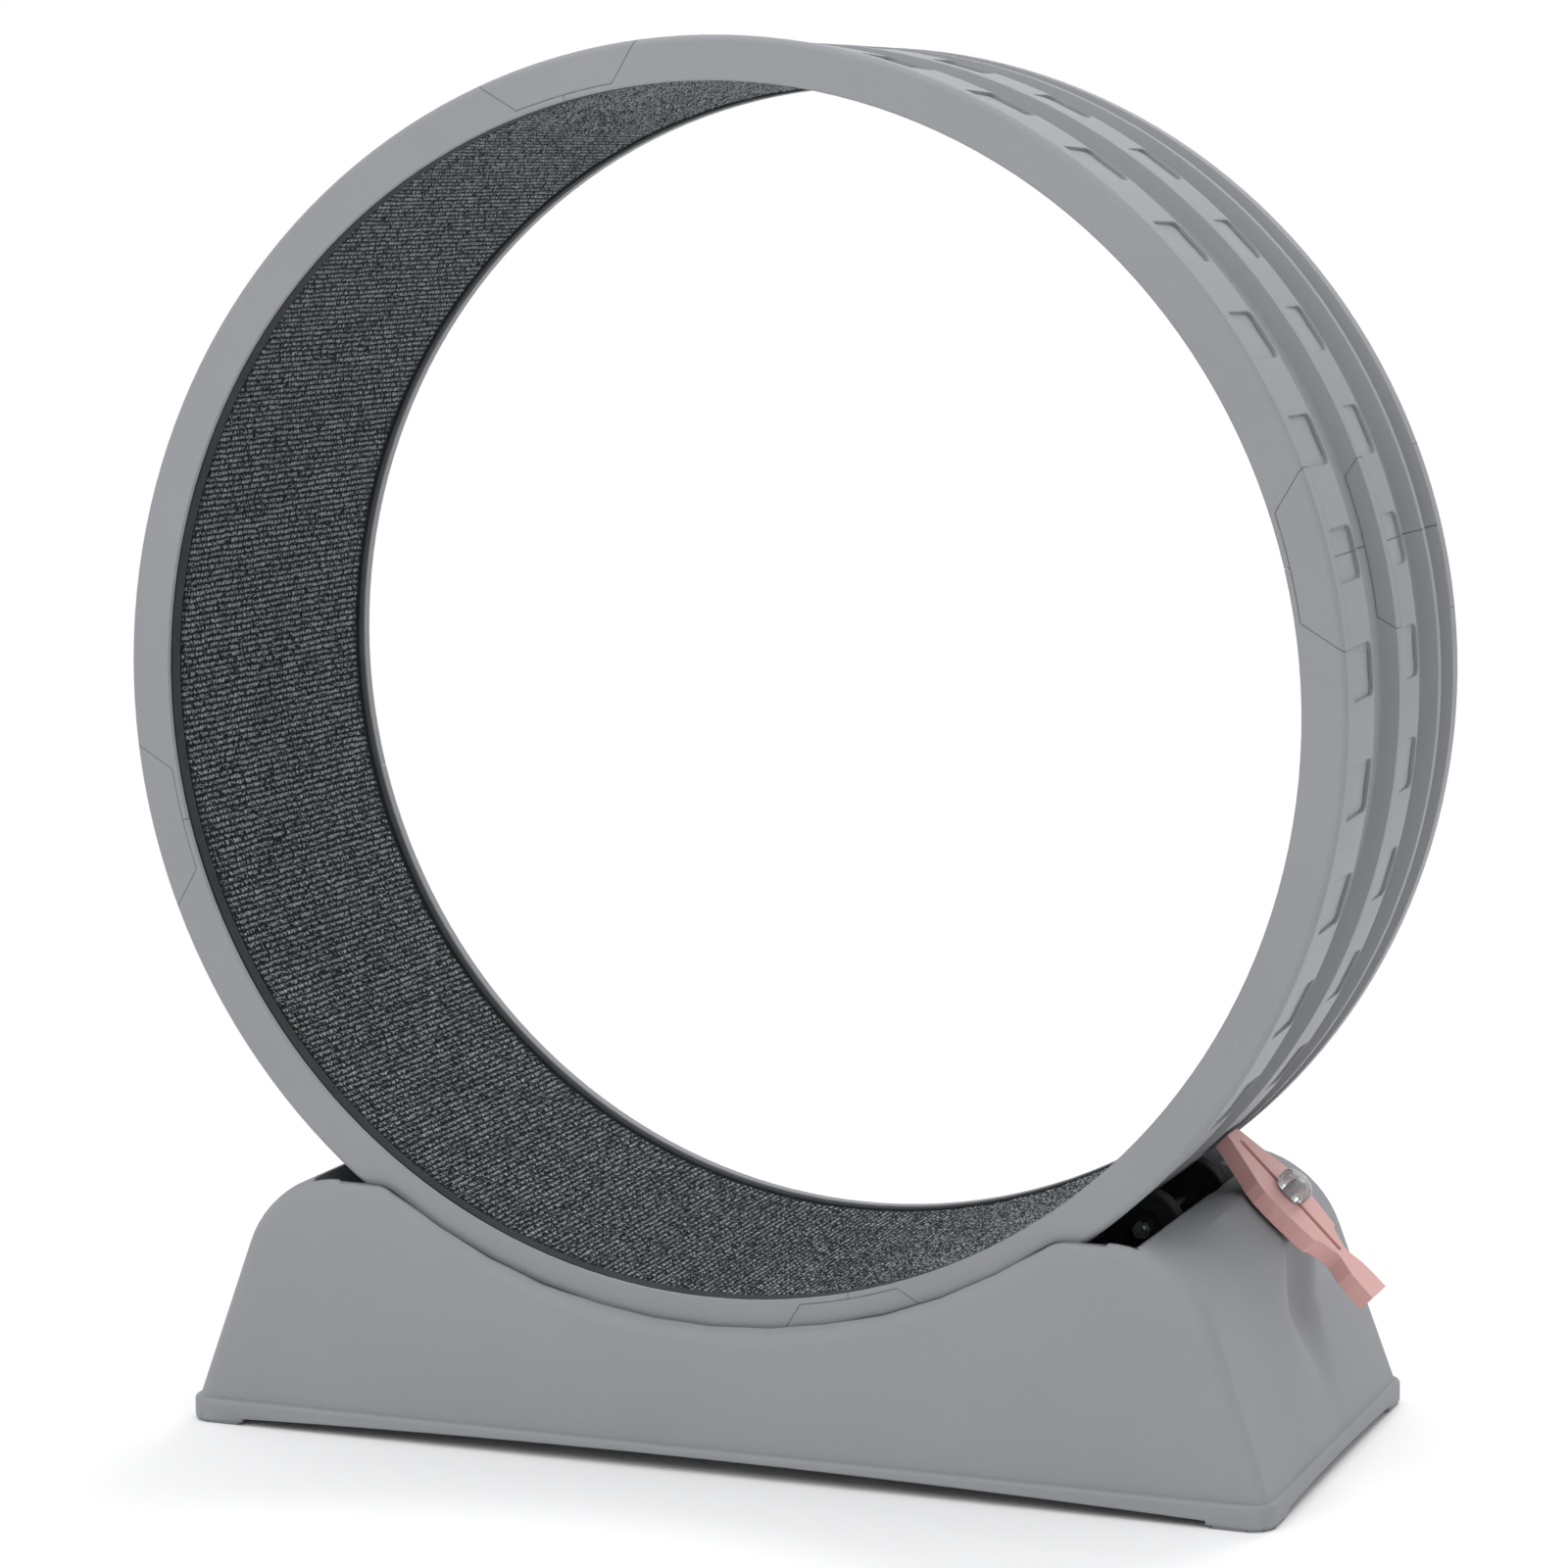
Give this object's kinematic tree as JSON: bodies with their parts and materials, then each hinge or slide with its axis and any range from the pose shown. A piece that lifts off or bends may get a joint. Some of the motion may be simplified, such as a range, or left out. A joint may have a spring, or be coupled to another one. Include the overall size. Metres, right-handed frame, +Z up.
{
  "type": "pet exercise wheel",
  "caption": "Large running wheel for a cat: a ribbed hollow ring with a looped carpet inside, turning on rollers in a saddle-shaped base with a sliding brake lever.",
  "frame": {"origin": "on the floor, at the middle of the base's footprint", "axes": "+X along the base towards the brake, +Y along the wheel's axis towards the back, +Z up"},
  "size_m": [1, 0.402, 1.1],
  "materials": {
    "moulded_grey": "fine matt moulded grain",
    "mat_pile": "looped carpet pile in rows",
    "mat_binding": "woven edge tape",
    "roller_tyre": "satin",
    "roller_plastic": "satin moulded",
    "fastener_steel": "zinc plated",
    "brake_pink": "satin moulded",
    "knob_clear": "glossy, smoky clear"
  },
  "bodies": {
    "base": {"base_shell": "moulded_grey", "brake_pedestal": "moulded_grey", "brake_stud": "fastener_steel", "brake_washer": "fastener_steel", "left_roller_axle": "fastener_steel", "right_roller_axle": "fastener_steel", "left_roller_bracket": "roller_plastic", "right_roller_bracket": "roller_plastic", "left_front_axle_nut": "fastener_steel", "left_back_axle_nut": "fastener_steel", "right_front_axle_nut": "fastener_steel", "right_back_axle_nut": "fastener_steel"},
    "wheel": {"wheel_segment_1": "moulded_grey", "wheel_segment_2": "moulded_grey", "wheel_segment_3": "moulded_grey", "wheel_segment_4": "moulded_grey", "front_joint_key_1": "moulded_grey", "front_joint_key_2": "moulded_grey", "front_joint_key_3": "moulded_grey", "front_joint_key_4": "moulded_grey", "middle_joint_key_1": "moulded_grey", "middle_joint_key_2": "moulded_grey", "middle_joint_key_3": "moulded_grey", "middle_joint_key_4": "moulded_grey", "back_joint_key_1": "moulded_grey", "back_joint_key_2": "moulded_grey", "back_joint_key_3": "moulded_grey", "back_joint_key_4": "moulded_grey", "running_mat": "mat_pile", "front_edge_binding": "mat_binding", "back_edge_binding": "mat_binding"},
    "left_front_roller": {"left_front_roller_tyre": "roller_tyre", "left_front_roller_hub": "roller_plastic"},
    "left_back_roller": {"left_back_roller_tyre": "roller_tyre", "left_back_roller_hub": "roller_plastic"},
    "right_front_roller": {"right_front_roller_tyre": "roller_tyre", "right_front_roller_hub": "roller_plastic"},
    "right_back_roller": {"right_back_roller_tyre": "roller_tyre", "right_back_roller_hub": "roller_plastic"},
    "brake_lever": {"brake_lever": "brake_pink"},
    "brake_knob": {"brake_knob": "knob_clear"}
  },
  "joints": [
    {"name": "wheel_spin", "type": "hinge", "parent": "base", "child": "wheel", "pos_m": [0, 0, 0.6], "axis": [0, 1, 0], "continuous": true},
    {"name": "left_front_roller_spin", "type": "hinge", "parent": "base", "child": "left_front_roller", "pos_m": [-0.30982, 0, 0.18736], "axis": [0, 1, 0], "continuous": true},
    {"name": "left_back_roller_spin", "type": "hinge", "parent": "base", "child": "left_back_roller", "pos_m": [-0.30982, 0, 0.18736], "axis": [0, 1, 0], "continuous": true},
    {"name": "right_front_roller_spin", "type": "hinge", "parent": "base", "child": "right_front_roller", "pos_m": [0.30982, 0, 0.18736], "axis": [0, 1, 0], "continuous": true},
    {"name": "right_back_roller_spin", "type": "hinge", "parent": "base", "child": "right_back_roller", "pos_m": [0.30982, 0, 0.18736], "axis": [0, 1, 0], "continuous": true},
    {"name": "brake_slide", "type": "slide", "parent": "base", "child": "brake_lever", "axis": [0.7071, 0, -0.7071], "range_m": [0, 0.05]},
    {"name": "brake_knob_turn", "type": "hinge", "parent": "base", "child": "brake_knob", "pos_m": [0.39846, 0.0245, 0.20155], "axis": [0.7071, 0, 0.7071], "range_deg": [0, 360]}
  ],
  "couplings": [
    {"joint": "left_front_roller_spin", "follows": "wheel_spin", "ratio": -15.529},
    {"joint": "left_back_roller_spin", "follows": "wheel_spin", "ratio": -15.529},
    {"joint": "right_front_roller_spin", "follows": "wheel_spin", "ratio": -15.529},
    {"joint": "right_back_roller_spin", "follows": "wheel_spin", "ratio": -15.529}
  ]
}
